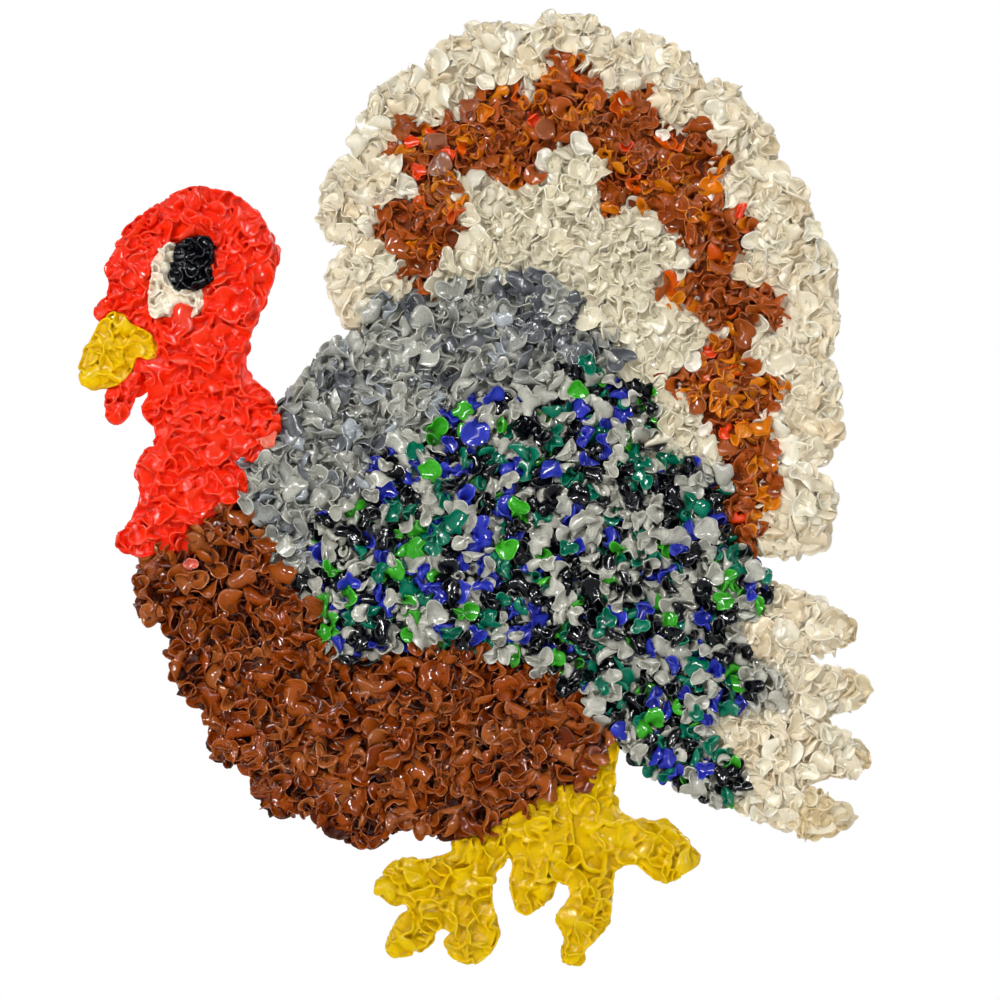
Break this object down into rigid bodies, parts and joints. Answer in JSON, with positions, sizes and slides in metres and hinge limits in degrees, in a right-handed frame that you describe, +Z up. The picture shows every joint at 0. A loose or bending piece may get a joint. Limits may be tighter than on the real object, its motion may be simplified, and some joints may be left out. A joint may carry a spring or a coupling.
{
  "type": "plastic turkey wall decoration",
  "caption": "Turkey in profile with a fanned tail, made of cupped melted plastic chips fused into colour fields, with a flat back that hangs against a wall.",
  "frame": {"origin": "on the flat back, at the middle of the turkey's outline", "axes": "+X to the viewer's right, +Z up, +Y into the wall; the chips face -Y and the turkey looks to -X"},
  "size_m": [0.4203, 0.0144, 0.5054],
  "materials": {
    "red_plastic": "melted, glossy, slightly translucent",
    "yellow_plastic": "melted, glossy",
    "cream_plastic": "crumpled chips, satin",
    "white_plastic": "crumpled chips, satin",
    "black_plastic": "melted, glossy",
    "brown_plastic": "crumpled chips with pale rims, glossy",
    "amber_plastic": "brown and amber chips, glossy, slightly translucent",
    "grey_plastic": "light and dark grey chips with pale rims, satin",
    "speckled_plastic": "grey, black, blue, teal and green chips, glossy",
    "orange_plastic": "glossy, slightly translucent",
    "pearl_plastic": "satin",
    "pink_plastic": "glossy, translucent",
    "teal_plastic": "glossy"
  },
  "bodies": {
    "root": {"back": "grey_plastic", "beak": "yellow_plastic", "breast": "brown_plastic", "eye_pupil": "black_plastic", "eye_white": "cream_plastic", "head_and_neck": "red_plastic", "left_leg": "yellow_plastic", "orange_chip_1": "orange_plastic", "orange_chip_10": "orange_plastic", "orange_chip_2": "orange_plastic", "orange_chip_3": "orange_plastic", "orange_chip_4": "orange_plastic", "orange_chip_5": "orange_plastic", "orange_chip_6": "orange_plastic", "orange_chip_7": "orange_plastic", "orange_chip_8": "orange_plastic", "orange_chip_9": "orange_plastic", "pearl_chip_1": "pearl_plastic", "pearl_chip_2": "pearl_plastic", "pink_chip_1": "pink_plastic", "right_leg": "yellow_plastic", "silver_chip_1": "grey_plastic", "smoke_chip_1": "grey_plastic", "snood": "red_plastic", "tail_band": "amber_plastic", "tail_inner": "white_plastic", "tail_scallop_1": "cream_plastic", "tail_scallop_10": "cream_plastic", "tail_scallop_11": "cream_plastic", "tail_scallop_2": "cream_plastic", "tail_scallop_3": "cream_plastic", "tail_scallop_4": "cream_plastic", "tail_scallop_5": "cream_plastic", "tail_scallop_6": "cream_plastic", "tail_scallop_7": "cream_plastic", "tail_scallop_8": "cream_plastic", "tail_scallop_9": "cream_plastic", "teal_chip_1": "teal_plastic", "wing": "speckled_plastic", "wing_tip_1": "cream_plastic", "wing_tip_2": "cream_plastic", "wing_tip_3": "cream_plastic", "wing_tip_4": "cream_plastic"}
  },
  "joints": []
}
